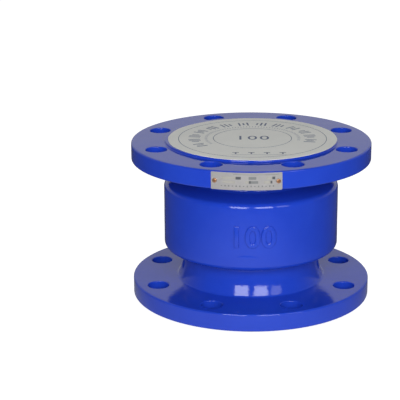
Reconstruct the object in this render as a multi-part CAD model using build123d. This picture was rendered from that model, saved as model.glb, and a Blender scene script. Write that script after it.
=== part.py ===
from build123d import *
import math
import os

# Silent non-return valve, nominal bore 100, both ends flanged. All sizes in mm.
# The origin is the centre of the inlet face. +Z is the flow direction and the valve's axis.

# Cast body, outside
face_to_face = 147.0
flange_d = 215.0
flange_t = 16.0
raised_face_inset = 30.0
inlet_face_h = 3.0
outlet_face_h = 2.0
bolt_circle_inset = 17.5
bolt_hole_d = 19.0
bolt_hole_count = 8
barrel_d = 157.4
neck_d = 120.4
neck_foot_d = 133.2
neck_flare_d = 125.6
neck_flare_h = 8.5
neck_flare_round = 55.0
lower_neck_h = 24.5
underside_h = 4.8
upper_neck_h = 16.0
shoulder_h = 6.2
flange_edge_round = 1.4
casting_round = 5.0
root_round = 3.0
raised_edge_round = 0.6

# Cast body, inside
barrel_wall = 8.2
shoulder_wall = 7.0
outlet_bore_d = 100.0
neck_bore_d = 105.0
outlet_hub_wall = 4.0
outlet_hub_foot_w = 7.5
outlet_hub_foot_h = 3.0
outlet_hub_cone_h = 5.0
outlet_hub_l = 30.0
outlet_hub_recess = 13.0
outlet_rib_t = 6.0
outlet_rib_setback = 6.0
outlet_rib_drop = 2.0
guide_rib_count = 3
guide_rib_start = 90.0

# Seat ring with the inlet guide, put in from the inlet
seat_wall = 5.5
seat_flange_w = 11.5
seat_flange_t = 6.0
seat_mouth_flare = 2.0
seat_mouth_l = 10.0
seat_taper_l = 4.0
seat_rise = 3.7
seat_lip_w = 2.0
seat_lip_chamfer = 0.6
seat_nose_inset = 1.9
seat_nose_h = 6.0
seat_nose_taper_h = 1.0
inlet_hub_wall = 3.0
inlet_hub_l = 29.0
inlet_hub_drop = 10.0
inlet_rib_t = 5.0
inlet_rib_setback = 2.5
seat_screw_inset = 6.0
seat_screw_count = 4
seat_screw_l = 12.0
seat_ring_cord_d = 2.1
seat_ring_groove_w = 2.6
seat_ring_groove_z = 14.5

# Guide bushes
bush_wall = 3.0
bush_flange_t = 1.5
inlet_bush_flange_w = 2.0
outlet_bush_flange_w = 3.0
bush_end_gap = 0.5

# Stem
stem_d = 14.0
stem_collar_w = 4.0
stem_collar_h = 4.0
stem_end_chamfer = 1.2
stem_cover_gap = 2.3
stem_inlet_engagement = 8.0
stem_ring_cord_d = 1.9
stem_ring_groove_w = 2.6

# Poppet, its seal and its retainer
poppet_overlap = 4.5
poppet_rim_h = 3.0
poppet_crown_h = 3.5
poppet_crown_w = 2.7
poppet_skirt_t = 1.1
poppet_skirt_h = 3.2
poppet_rim_round = 1.2
spring_hub_gap = 1.25
poppet_hub_h = 6.0
spring_pocket_gap = 3.55
spring_pocket_drop = 1.5
seal_t = 5.0
seal_lip_t = 2.7
seal_lip_w = 3.4
retainer_throat_gap = 3.6
retainer_t = 4.0
retainer_edge_round = 1.5
retainer_screw_inset = 9.4
retainer_screw_count = 6
retainer_screw_l = 10.0

# Stem nut and its tab washer
nut_wall = 3.5
nut_h = 9.0
tab_washer_w = 2.0
tab_washer_t = 1.5
tab_w = 8.0
tab_h = 5.0

# Closing spring and its washer
spring_wire_d = 2.5
spring_mean_d = 36.0
spring_turns = 6.0
spring_washer_w = 1.75
spring_washer_t = 1.5

# Small countersunk screws
screw_d = 5.0
screw_head_d = 9.6
screw_head_h = 2.6
screw_socket_across = 3.0
screw_socket_depth = 1.6
screw_hole_spare = 1.5

# Protective disc over the outlet, and the name plate on the outlet flange
cover_inset = 1.5
cover_t = 0.4
cover_film_t = 0.05
cover_offset_x = 1.2
cover_offset_y = -3.5
plate_angle = -92.6
plate_span = 31.9
plate_h = 15.0
plate_t = 0.5
plate_lift = 0.3
plate_corner_round = 1.0
plate_film_t = 0.05
rivet_span = 28.5
rivet_d = 2.5
rivet_head_d = 3.8
rivet_head_h = 0.9
rivet_head_round = 0.75
rivet_l = 6.0

# Clearances
running_gap = 0.05
press_gap = 0.02
fit_gap = 0.1
slot_gap = 0.1
stop_gap = 0.3

# Widths that follow from the sizes above
raised_face_d = flange_d - 2 * raised_face_inset
bolt_circle_d = flange_d - 2 * bolt_circle_inset
cover_d = raised_face_d - 2 * cover_inset
throat_d = neck_bore_d - 2 * seat_wall
seat_mouth_d = throat_d + 2 * seat_mouth_flare
seat_flange_d = neck_bore_d + 2 * seat_flange_w
seat_screw_circle_d = seat_flange_d - 2 * seat_screw_inset
seat_nose_d = neck_bore_d - 2 * seat_nose_inset
poppet_d = throat_d + 2 * poppet_overlap
retainer_d = throat_d - 2 * retainer_throat_gap
retainer_screw_circle_d = retainer_d - 2 * retainer_screw_inset
bush_od = stem_d + 2 * bush_wall
inlet_bush_flange_d = bush_od + 2 * inlet_bush_flange_w
outlet_bush_flange_d = bush_od + 2 * outlet_bush_flange_w
inlet_hub_d = bush_od + 2 * inlet_hub_wall
outlet_hub_d = bush_od + 2 * outlet_hub_wall
outlet_hub_foot_d = outlet_hub_d + 2 * outlet_hub_foot_w
stem_collar_d = stem_d + 2 * stem_collar_w
stem_ring_groove_d = stem_d + 2 * stem_ring_groove_w
nut_across_flats = stem_d + 2 * nut_wall
tab_washer_d = nut_across_flats + 2 * tab_washer_w
spring_pocket_d = spring_mean_d + spring_wire_d + 2 * spring_pocket_gap
spring_washer_d = spring_mean_d + spring_wire_d + 2 * spring_washer_w
poppet_crown_d = spring_pocket_d + 2 * poppet_crown_w
poppet_hub_d = spring_mean_d - spring_wire_d - 2 * spring_hub_gap

# Heights that follow from the sizes above
lower_flange_top = inlet_face_h + flange_t
upper_flange_top = face_to_face - outlet_face_h
upper_flange_bottom = upper_flange_top - flange_t
underside_z = lower_flange_top + lower_neck_h
barrel_bottom = underside_z + underside_h
shoulder_z = upper_flange_bottom - upper_neck_h
barrel_top = shoulder_z - shoulder_h
chamber_r = barrel_d / 2 - barrel_wall
chamber_floor = barrel_bottom + shoulder_wall
chamber_roof = barrel_top - shoulder_wall
neck_bore_top = underside_z + shoulder_wall
outlet_bore_bottom = shoulder_z - shoulder_wall
seat_z = barrel_bottom + seat_rise
outlet_hub_top = face_to_face - outlet_hub_recess
outlet_hub_bottom = outlet_hub_top - outlet_hub_l
inlet_hub_top = seat_z - inlet_hub_drop
inlet_hub_bottom = inlet_hub_top - inlet_hub_l
seal_top = seat_z + seal_t
retainer_top = seal_top - seal_lip_t
retainer_bottom = retainer_top - retainer_t
poppet_rim_top = seal_top + poppet_rim_h
poppet_crown_top = poppet_rim_top + poppet_crown_h
spring_seat_z = poppet_crown_top - spring_pocket_drop
poppet_hub_top = spring_seat_z + poppet_hub_h
nut_bottom = poppet_hub_top + tab_washer_t
nut_top = nut_bottom + nut_h
spring_top_z = outlet_hub_bottom - bush_flange_t - spring_washer_t
lift = spring_top_z - nut_top - stop_gap
stem_top = face_to_face - stem_cover_gap - lift
stem_bottom = inlet_hub_top + bush_flange_t - stem_inlet_engagement - lift
stem_bore_r = stem_d / 2 + running_gap
seal_inner_r = retainer_d / 2 - seal_lip_w
seal_outer_r = poppet_d / 2 - poppet_skirt_t - fit_gap
rim_r = flange_d / 2


def turned(corners):
    """Solid turned about Z from corners given as (radius, height, rounding)."""
    places = [(radius, height) for radius, height, _ in corners]
    outline = make_face(Polyline(*places, close=True))
    for radius, height, rounding in corners:
        if rounding > 0:
            corner = outline.vertices().sort_by_distance(Vertex(radius, height, 0))[0]
            outline = fillet(corner, rounding)
    return revolve(Plane.XZ * outline, Axis.Z)


def column(diameter, bottom, top):
    """Round bar on the valve's axis between two heights."""
    return Pos(0, 0, bottom) * Cylinder(
        diameter / 2, top - bottom, align=(Align.CENTER, Align.CENTER, Align.MIN)
    )


def guide_ribs(thickness, reach, bottom, top, rise):
    """Flat ribs that run out from the axis, with their lower edges rising towards the wall."""
    side = make_face(Polyline((0, bottom), (0, top), (reach, top), (reach, bottom + rise), close=True))
    rib = extrude(Plane.XZ * side, thickness / 2, both=True)
    turns = [guide_rib_start + 360 * index / guide_rib_count for index in range(guide_rib_count)]
    return Part() + [Rot(0, 0, turn) * rib for turn in turns]


def screw(length):
    """Countersunk socket screw, head down at the origin, shank up +Z."""
    shank_r = screw_d / 2 - slot_gap
    head_r = screw_head_d / 2
    body = turned([
        (0, 0, 0),
        (head_r, 0, 0),
        (shank_r, screw_head_h, 0),
        (shank_r, length, 0),
        (0, length, 0),
    ])
    socket = extrude(RegularPolygon(screw_socket_across / 2, 6, major_radius=False), screw_socket_depth)
    return body - socket


def screw_hole(length):
    """Hole for the same screw, with clearance round the head and the shank."""
    shank_r = screw_d / 2
    head_r = screw_head_d / 2 + slot_gap
    end = length + screw_hole_spare
    return turned([
        (0, 0, 0),
        (head_r, 0, 0),
        (shank_r, screw_head_h + slot_gap, 0),
        (shank_r, end, 0),
        (0, end, 0),
    ])


def screw_places(circle_d, count, height):
    """Places of a ring of screws."""
    return [Pos(0, 0, height) * place for place in PolarLocations(circle_d / 2, count)]


def body_outside():
    """The casting as a full solid: two flanges, two necks and the barrel."""
    raised_r = raised_face_d / 2
    neck_r = neck_d / 2
    barrel_r = barrel_d / 2
    flare_z = lower_flange_top + neck_flare_h
    return turned([
        (0, 0, 0),
        (raised_r, 0, raised_edge_round),
        (raised_r, inlet_face_h, raised_edge_round),
        (rim_r, inlet_face_h, flange_edge_round),
        (rim_r, lower_flange_top, flange_edge_round),
        (neck_foot_d / 2, lower_flange_top, root_round / 2),
        (neck_flare_d / 2, flare_z, neck_flare_round),
        (neck_r, underside_z, root_round),
        (barrel_r, barrel_bottom, casting_round),
        (barrel_r, barrel_top, casting_round),
        (neck_r, shoulder_z, root_round),
        (neck_r, upper_flange_bottom, root_round),
        (rim_r, upper_flange_bottom, flange_edge_round),
        (rim_r, upper_flange_top, flange_edge_round),
        (raised_r, upper_flange_top, raised_edge_round),
        (raised_r, face_to_face, raised_edge_round),
        (0, face_to_face, 0),
    ])


def body_waterway():
    """The hollow of the casting, from the seat ring's counterbore to the outlet face."""
    register_r = neck_bore_d / 2
    counterbore_r = seat_flange_d / 2 + fit_gap
    outlet_r = outlet_bore_d / 2
    return turned([
        (0, 0, 0),
        (counterbore_r, 0, 0),
        (counterbore_r, seat_flange_t, 0),
        (register_r, seat_flange_t, 0),
        (register_r, neck_bore_top, 0),
        (chamber_r, chamber_floor, casting_round),
        (chamber_r, chamber_roof, casting_round),
        (outlet_r, outlet_bore_bottom, root_round),
        (outlet_r, face_to_face, 0),
        (0, face_to_face, 0),
    ])


def outlet_guide():
    """Hub and ribs cast into the outlet neck."""
    hub_r = outlet_hub_d / 2
    foot_r = outlet_hub_foot_d / 2
    foot_top = outlet_hub_bottom + outlet_hub_foot_h
    hub = turned([
        (0, outlet_hub_bottom, 0),
        (foot_r, outlet_hub_bottom, 0),
        (foot_r, foot_top, 0),
        (hub_r, foot_top + outlet_hub_cone_h, root_round),
        (hub_r, outlet_hub_top, root_round / 2),
        (0, outlet_hub_top, 0),
    ])
    rib_bottom = outlet_hub_bottom + outlet_rib_setback
    rib_top = outlet_hub_top - outlet_rib_drop
    ribs = guide_ribs(outlet_rib_t, barrel_d / 2, rib_bottom, rib_top, outlet_rib_setback)
    return hub + (ribs & body_waterway())


def rivet_angles():
    """Angles of the two rivets round the flange rim."""
    return [plate_angle - rivet_span / 2, plate_angle + rivet_span / 2]


def rivet_height():
    """Height of the rivets, at the middle of the name plate."""
    return upper_flange_bottom + plate_lift + plate_h / 2


def valve_body():
    """One casting with machined faces, bores and holes."""
    body = body_outside() - body_waterway() + outlet_guide()
    body -= column(bush_od, outlet_hub_bottom, outlet_hub_top)
    start = 180 / bolt_hole_count
    holes = column(bolt_hole_d, 0, lower_flange_top) + column(bolt_hole_d, upper_flange_bottom, face_to_face)
    body -= [place * holes for place in PolarLocations(bolt_circle_d / 2, bolt_hole_count, start)]
    places = screw_places(seat_screw_circle_d, seat_screw_count, 0)
    body -= [place * screw_hole(seat_screw_l) for place in places]
    for angle in rivet_angles():
        drill = Pos(rim_r - rivet_l, 0, rivet_height()) * Rot(0, 90, 0) * Cylinder(
            rivet_d / 2 + running_gap, 2 * rivet_l, align=(Align.CENTER, Align.CENTER, Align.MIN)
        )
        body -= Rot(0, 0, angle) * drill
    return body


def seat_ring():
    """Sleeve with the seating lip, the screwed flange and the inlet guide."""
    sleeve_r = neck_bore_d / 2 - running_gap
    throat_r = throat_d / 2
    lip_r = throat_r + seat_lip_chamfer
    nose_z = seat_z - seat_nose_h
    groove_low = seat_ring_groove_z - seat_ring_groove_w / 2
    groove_high = seat_ring_groove_z + seat_ring_groove_w / 2
    groove_r = neck_bore_d / 2 - seat_ring_cord_d - running_gap
    sleeve = turned([
        (seat_mouth_d / 2, 0, 0),
        (seat_mouth_d / 2, seat_mouth_l, 0),
        (throat_r, seat_mouth_l + seat_taper_l, 0),
        (throat_r, seat_z - seat_lip_chamfer, 0),
        (lip_r, seat_z, 0),
        (lip_r + seat_lip_w, seat_z, 0),
        (seat_nose_d / 2, seat_z - seat_lip_w, 0),
        (seat_nose_d / 2, nose_z + seat_nose_taper_h, 0),
        (sleeve_r, nose_z, 0),
        (sleeve_r, groove_high, 0),
        (groove_r, groove_high, 0),
        (groove_r, groove_low, 0),
        (sleeve_r, groove_low, 0),
        (sleeve_r, seat_flange_t, 0),
        (seat_flange_d / 2, seat_flange_t, 0),
        (seat_flange_d / 2, 0, 0),
    ])
    hub = turned([
        (0, inlet_hub_bottom, 0),
        (inlet_hub_d / 2, inlet_hub_bottom, root_round / 2),
        (inlet_hub_d / 2, inlet_hub_top, 0),
        (0, inlet_hub_top, 0),
    ])
    rib_bottom = inlet_hub_bottom + inlet_rib_setback
    ribs = guide_ribs(inlet_rib_t, lip_r, rib_bottom, inlet_hub_top, inlet_rib_setback)
    ring = sleeve + hub + ribs
    ring -= column(bush_od, inlet_hub_bottom, inlet_hub_top)
    places = screw_places(seat_screw_circle_d, seat_screw_count, 0)
    return ring - [place * screw_hole(seat_screw_l) for place in places]


def seat_o_ring():
    """Rubber ring between the seat sleeve and the body's neck."""
    centre_r = neck_bore_d / 2 - seat_ring_cord_d / 2 - press_gap
    return Pos(0, 0, seat_ring_groove_z) * Torus(centre_r, seat_ring_cord_d / 2)


def seat_screws():
    """Screws that hold the seat ring's flange in the inlet counterbore."""
    places = screw_places(seat_screw_circle_d, seat_screw_count, 0)
    return [place * screw(seat_screw_l) for place in places]


def guide_bush(flange_diameter, flange_bottom, flange_top, shank_end):
    """Flanged bush whose shank runs from its flange to shank_end."""
    shank = column(bush_od - 2 * press_gap, min(flange_bottom, shank_end), max(flange_top, shank_end))
    flange = column(flange_diameter, flange_bottom, flange_top)
    return shank + flange - column(2 * stem_bore_r, min(flange_bottom, shank_end), max(flange_top, shank_end))


def lower_guide_bush():
    """Bush in the inlet hub, flange on top."""
    flange_top = inlet_hub_top + bush_flange_t
    return guide_bush(inlet_bush_flange_d, inlet_hub_top, flange_top, inlet_hub_bottom + bush_end_gap)


def upper_guide_bush():
    """Bush in the outlet hub, flange below, held up by the spring washer."""
    flange_bottom = outlet_hub_bottom - bush_flange_t
    return guide_bush(outlet_bush_flange_d, flange_bottom, outlet_hub_bottom, outlet_hub_top - bush_end_gap)


def stem():
    """Stem that runs in both bushes and carries the poppet on its collar."""
    stem_r = stem_d / 2
    collar_r = stem_collar_d / 2
    collar_bottom = retainer_bottom - stem_collar_h
    bar = turned([
        (0, stem_bottom, 0),
        (stem_r, stem_bottom, 0),
        (stem_r, collar_bottom, 0),
        (collar_r, collar_bottom, 0),
        (collar_r, retainer_bottom, 0),
        (stem_r, retainer_bottom, 0),
        (stem_r, stem_top, 0),
        (0, stem_top, 0),
    ])
    ends = bar.edges().filter_by(GeomType.CIRCLE).sort_by(Axis.Z)
    return chamfer([ends[0], ends[-1]], stem_end_chamfer)


def stem_o_ring():
    """Rubber ring that seals the stem under the retainer."""
    cord_r = stem_ring_cord_d / 2
    centre_r = (stem_d + stem_ring_groove_d) / 4 + running_gap
    return Pos(0, 0, retainer_bottom + cord_r) * Torus(centre_r, cord_r)


def poppet():
    """Disc that closes on the seat, with the hub that locates the spring."""
    skirt_r = poppet_d / 2 - poppet_skirt_t
    boss_r = seal_inner_r - running_gap
    hub_r = poppet_hub_d / 2
    pocket_r = spring_pocket_d / 2
    disc = turned([
        (stem_bore_r, retainer_top, 0),
        (boss_r, retainer_top, 0),
        (boss_r, seal_top, 0),
        (skirt_r, seal_top, 0),
        (skirt_r, seal_top - poppet_skirt_h, 0),
        (poppet_d / 2, seal_top - poppet_skirt_h, 0),
        (poppet_d / 2, poppet_rim_top, poppet_rim_round),
        (poppet_crown_d / 2, poppet_crown_top, poppet_rim_round),
        (pocket_r, poppet_crown_top, 0),
        (pocket_r, spring_seat_z, 0),
        (hub_r, spring_seat_z, 0),
        (hub_r, poppet_hub_top, poppet_rim_round),
        (stem_bore_r, poppet_hub_top, 0),
    ])
    places = screw_places(retainer_screw_circle_d, retainer_screw_count, retainer_bottom)
    return disc - [place * screw_hole(retainer_screw_l) for place in places]


def seal_ring():
    """Rubber seat ring, held by its inner lip."""
    bore_r = retainer_d / 2 + running_gap
    return turned([
        (bore_r, seat_z, 0),
        (seal_outer_r, seat_z, 0),
        (seal_outer_r, seal_top, 0),
        (seal_inner_r, seal_top, 0),
        (seal_inner_r, retainer_top, 0),
        (bore_r, retainer_top, 0),
    ])


def seal_retainer():
    """Plate that clamps the seal's lip to the poppet."""
    groove_top = retainer_bottom + stem_ring_cord_d
    plate = turned([
        (stem_ring_groove_d / 2, retainer_bottom, 0),
        (retainer_d / 2, retainer_bottom, retainer_edge_round),
        (retainer_d / 2, retainer_top, 0),
        (stem_bore_r, retainer_top, 0),
        (stem_bore_r, groove_top, 0),
        (stem_ring_groove_d / 2, groove_top, 0),
    ])
    places = screw_places(retainer_screw_circle_d, retainer_screw_count, retainer_bottom)
    return plate - [place * screw_hole(retainer_screw_l) for place in places]


def retainer_screws():
    """Screws that hold the retainer to the poppet."""
    places = screw_places(retainer_screw_circle_d, retainer_screw_count, retainer_bottom)
    return [place * screw(retainer_screw_l) for place in places]


def stem_nut():
    """Hexagon nut with chamfered corners."""
    flat_r = nut_across_flats / 2
    corner_r = flat_r / math.cos(math.pi / 6)
    chamfer_h = (corner_r - flat_r) * math.tan(math.pi / 6)
    blank = Pos(0, 0, nut_bottom) * extrude(RegularPolygon(flat_r, 6, major_radius=False), nut_h)
    turned_corners = turned([
        (stem_bore_r, nut_bottom, 0),
        (flat_r, nut_bottom, 0),
        (corner_r, nut_bottom + chamfer_h, 0),
        (corner_r, nut_top - chamfer_h, 0),
        (flat_r, nut_top, 0),
        (stem_bore_r, nut_top, 0),
    ])
    return blank & turned_corners


def nut_tab_washer():
    """Washer whose tab is bent up against a flat of the nut."""
    washer = column(tab_washer_d, poppet_hub_top, nut_bottom)
    washer -= column(2 * stem_bore_r, poppet_hub_top, nut_bottom)
    flat = nut_across_flats / 2 + running_gap
    tab = Pos(0, flat, poppet_hub_top) * Box(
        tab_w, tab_washer_t, tab_washer_t + tab_h, align=(Align.CENTER, Align.MIN, Align.MIN)
    )
    return washer + tab


def closing_spring():
    """Compression spring with ground ends, between the poppet and the spring washer."""
    height = spring_top_z - spring_seat_z
    wire_r = spring_wire_d / 2
    path = Pos(0, 0, spring_seat_z) * Helix(height / spring_turns, height, spring_mean_d / 2)
    wire = sweep(Plane(path @ 0, z_dir=path % 0) * Circle(wire_r), path, is_frenet=True)
    envelope = column(spring_mean_d + 2 * spring_wire_d, spring_seat_z, spring_top_z)
    return wire & envelope


def spring_washer():
    """Flat washer between the spring and the upper bush's flange. The nut stops against it."""
    bottom = spring_top_z
    top = spring_top_z + spring_washer_t
    return column(spring_washer_d, bottom, top) - column(stem_d + 4 * stop_gap, bottom, top)


def cover_disc():
    """Printed disc stuck over the outlet face by hand, a little off centre."""
    film_top = face_to_face + cover_film_t
    return Pos(cover_offset_x, cover_offset_y, 0) * column(cover_d, film_top, film_top + cover_t)


def nameplate():
    """Thin plate bent round the outlet flange's rim."""
    inner_r = rim_r + plate_film_t
    outer_r = inner_r + plate_t
    bottom = upper_flange_bottom + plate_lift
    bent = column(2 * outer_r, bottom, bottom + plate_h) - column(2 * inner_r, bottom, bottom + plate_h)
    width = 2 * outer_r * math.sin(math.radians(plate_span / 2))
    window = Pos(0, 0, bottom + plate_h / 2) * extrude(
        Plane.YZ * RectangleRounded(width, plate_h, plate_corner_round), 2 * rim_r
    )
    plate = bent & window
    for angle in (-rivet_span / 2, rivet_span / 2):
        hole = Pos(0, 0, rivet_height()) * Rot(0, 90, 0) * Cylinder(
            rivet_d / 2 + running_gap, 2 * rim_r, align=(Align.CENTER, Align.CENTER, Align.MIN)
        )
        plate -= Rot(0, 0, angle) * hole
    return Rot(0, 0, plate_angle) * plate


def nameplate_rivets():
    """Two drive rivets with domed heads."""
    seat_r = rim_r + plate_film_t + plate_t + press_gap
    shank_r = rivet_d / 2
    head_r = rivet_head_d / 2
    rivet = turned([
        (0, -rivet_l, 0),
        (shank_r, -rivet_l, 0),
        (shank_r, 0, 0),
        (head_r, 0, 0),
        (head_r, rivet_head_h, rivet_head_round),
        (0, rivet_head_h, 0),
    ])
    out = Pos(seat_r, 0, rivet_height()) * Rot(0, 90, 0)
    return [Rot(0, 0, angle) * out * rivet for angle in rivet_angles()]


PIECES = [
    valve_body,
    seat_ring,
    seat_o_ring,
    seat_screws,
    lower_guide_bush,
    upper_guide_bush,
    stem,
    stem_o_ring,
    poppet,
    seal_ring,
    seal_retainer,
    retainer_screws,
    stem_nut,
    nut_tab_washer,
    closing_spring,
    spring_washer,
    cover_disc,
    nameplate,
    nameplate_rivets,
]


def main():
    os.makedirs("parts", exist_ok=True)
    for piece in PIECES:
        shape = piece()
        if isinstance(shape, list):
            shape = Compound(shape)
        export_step(shape, f"parts/{piece.__name__}.step")
    print(f"poppet lift {lift:.2f} mm, spring from {spring_seat_z:.2f} to {spring_top_z:.2f} mm")
    print(f"stem from {stem_bottom:.2f} to {stem_top:.2f} mm, seat at {seat_z:.2f} mm")


main()
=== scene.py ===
"""Looks of a silent non-return valve: the finishes, the fine pieces and the studio around its fixed frame."""

import logging
import math
from dataclasses import dataclass, field
from enum import Enum

import bmesh
import bpy
from mathutils import Matrix, Vector, noise


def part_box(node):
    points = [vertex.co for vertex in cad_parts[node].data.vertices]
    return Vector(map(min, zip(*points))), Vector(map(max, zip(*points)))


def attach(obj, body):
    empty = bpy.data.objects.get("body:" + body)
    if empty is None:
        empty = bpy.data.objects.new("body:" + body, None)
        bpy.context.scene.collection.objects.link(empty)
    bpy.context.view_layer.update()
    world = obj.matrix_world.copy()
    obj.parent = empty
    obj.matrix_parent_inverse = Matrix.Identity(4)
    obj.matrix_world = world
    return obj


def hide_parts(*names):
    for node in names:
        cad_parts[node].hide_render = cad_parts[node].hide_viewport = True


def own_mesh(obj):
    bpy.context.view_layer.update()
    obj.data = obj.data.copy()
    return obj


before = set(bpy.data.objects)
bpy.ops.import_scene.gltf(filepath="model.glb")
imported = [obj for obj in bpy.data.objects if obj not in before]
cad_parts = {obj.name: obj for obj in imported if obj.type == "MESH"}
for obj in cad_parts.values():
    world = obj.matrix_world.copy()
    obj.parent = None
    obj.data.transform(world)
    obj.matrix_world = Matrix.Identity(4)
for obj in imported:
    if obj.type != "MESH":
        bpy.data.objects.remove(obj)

LOG = logging.getLogger("valve")
MM = 0.001
FULL_TURN = 2 * math.pi
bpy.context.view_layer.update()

Colour = tuple[float, float, float]
Corner = tuple[float, float, float]
Point = tuple[float, float]


class Body(str, Enum):
    """Moving bodies of the valve."""

    HOUSING = "housing"
    POPPET = "poppet_group"
    COVER = "cover"


class Slot(str, Enum):
    """Material slots of the valve's record."""

    PAINT = "blue_paint"
    BRONZE = "bronze"
    BUSH = "bush_brass"
    STAINLESS = "stainless"
    SPRING = "spring_steel"
    RUBBER = "black_rubber"
    FILM = "printed_film"
    PLATE = "plate_aluminium"
    RIVET = "copper_rivet"


class Shade(Enum):
    """Printed greys of the name plate's blank fields."""

    LIGHT = (0.36, 0.35, 0.32)
    MIDDLE = (0.19, 0.20, 0.20)
    DARK = (0.075, 0.08, 0.09)


class NodeKit:
    """Short calls for placing and joining the nodes of one tree."""

    def __init__(self, tree: bpy.types.NodeTree) -> None:
        """Keeps the tree that the other calls work on."""
        self.tree = tree

    def add(self, kind: str, values: dict | None = None, **settings: object) -> bpy.types.Node:
        """Places a node.

        Args:
            kind: Blender's name of the node type.
            values: Default values of its inputs, by input name.
            settings: Properties of the node itself.

        Returns:
            The new node.
        """
        node = self.tree.nodes.new(kind)
        for name, value in settings.items():
            setattr(node, name, value)
        for name, value in (values or {}).items():
            node.inputs[name].default_value = value
        return node

    def join(self, source: bpy.types.NodeSocket, target: bpy.types.NodeSocket) -> None:
        """Joins an output to an input."""
        self.tree.links.new(source, target)

    def math(self, operation: str, first: object, second: object = 0.0) -> bpy.types.NodeSocket:
        """Places a Math node.

        Args:
            operation: The node's operation.
            first: A socket or a number.
            second: A socket or a number.

        Returns:
            The result's socket.
        """
        node = self.add("ShaderNodeMath", operation=operation)
        for socket, value in zip(node.inputs, (first, second)):
            if isinstance(value, bpy.types.NodeSocket):
                self.join(value, socket)
            else:
                socket.default_value = value
        return node.outputs[0]

    def blend(self, mask: bpy.types.NodeSocket, low: Colour, high: Colour) -> bpy.types.NodeSocket:
        """Mixes two colours by a mask.

        Args:
            mask: Socket from 0 to 1.
            low: Colour where the mask is 0.
            high: Colour where the mask is 1.

        Returns:
            The colour's socket.
        """
        node = self.add("ShaderNodeMix", data_type="RGBA")
        self.join(mask, node.inputs[0])
        node.inputs[6].default_value = (*low, 1)
        node.inputs[7].default_value = (*high, 1)
        return node.outputs[2]

    def span(self, value: bpy.types.NodeSocket, low: float, high: float) -> bpy.types.NodeSocket:
        """Maps 0 to 1 onto low to high, and returns the socket."""
        node = self.add("ShaderNodeMapRange", {"To Min": low, "To Max": high})
        self.join(value, node.inputs["Value"])
        return node.outputs["Result"]


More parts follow.
